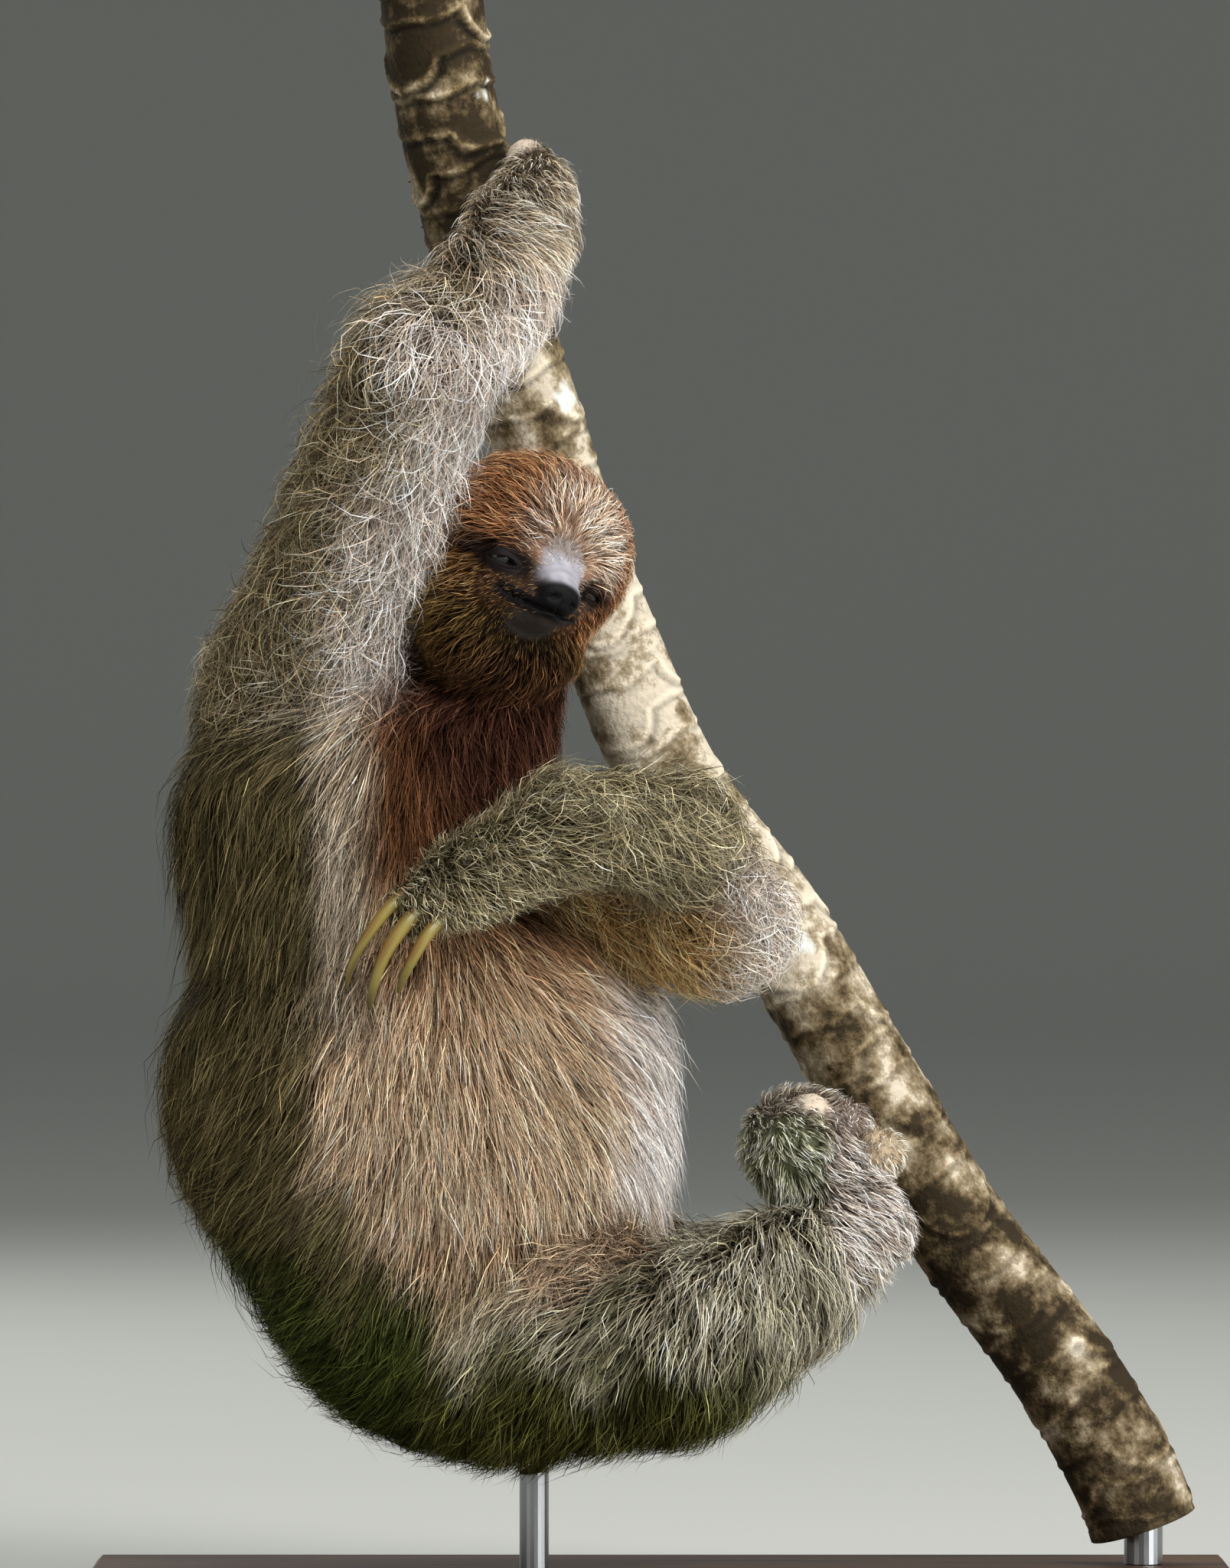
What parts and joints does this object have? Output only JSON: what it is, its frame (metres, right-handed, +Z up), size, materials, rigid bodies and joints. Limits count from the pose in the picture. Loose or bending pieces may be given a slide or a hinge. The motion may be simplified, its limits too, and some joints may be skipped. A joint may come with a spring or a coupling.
{
  "type": "three-toed sloth",
  "caption": "Life-size still model of a three-toed sloth clinging to a cut length of branch, on a plain display stand.",
  "frame": {"origin": "centre of the underside of the stand's base", "axes": "+Z up; the animal's face looks along -Y and a little towards +X; its back is towards -X"},
  "size_m": [0.47, 0.29, 0.6735],
  "materials": {
    "coat": "long coarse grey-brown hair, rusty on the face and throat, greenish on the rump",
    "skin": "bare dark damp skin",
    "eyes": "wet dark brown eye",
    "claws": "mustard-brown horn with stained streaks, satin",
    "bark": "mottled grey-brown bark with leaf scars and lichen",
    "stand_wood": "dark stained oak, satin lacquer",
    "stand_steel": "brushed stainless steel rod"
  },
  "bodies": {
    "root": {"head": "coat", "neck": "coat", "trunk": "coat", "arm_right_upper_arm": "coat", "arm_right_forearm": "coat", "arm_right_hand": "coat", "arm_left_upper_arm": "coat", "arm_left_forearm": "coat", "arm_left_hand": "coat", "leg_right_thigh": "coat", "leg_right_shank": "coat", "leg_right_foot": "coat", "leg_left_thigh": "coat", "leg_left_shank": "coat", "leg_left_foot": "coat", "tail": "coat", "nose": "skin", "eye_right": "eyes", "eye_left": "eyes", "claw_hand_left_1": "claws", "claw_hand_left_2": "claws", "claw_hand_left_3": "claws", "claw_hand_right_1": "claws", "claw_hand_right_2": "claws", "claw_hand_right_3": "claws", "claw_foot_right_1": "claws", "claw_foot_right_2": "claws", "claw_foot_right_3": "claws", "claw_foot_left_1": "claws", "claw_foot_left_2": "claws", "claw_foot_left_3": "claws", "branch": "bark", "stand_base": "stand_wood", "stand_rod_body": "stand_steel", "stand_rod_branch": "stand_steel"}
  },
  "joints": []
}
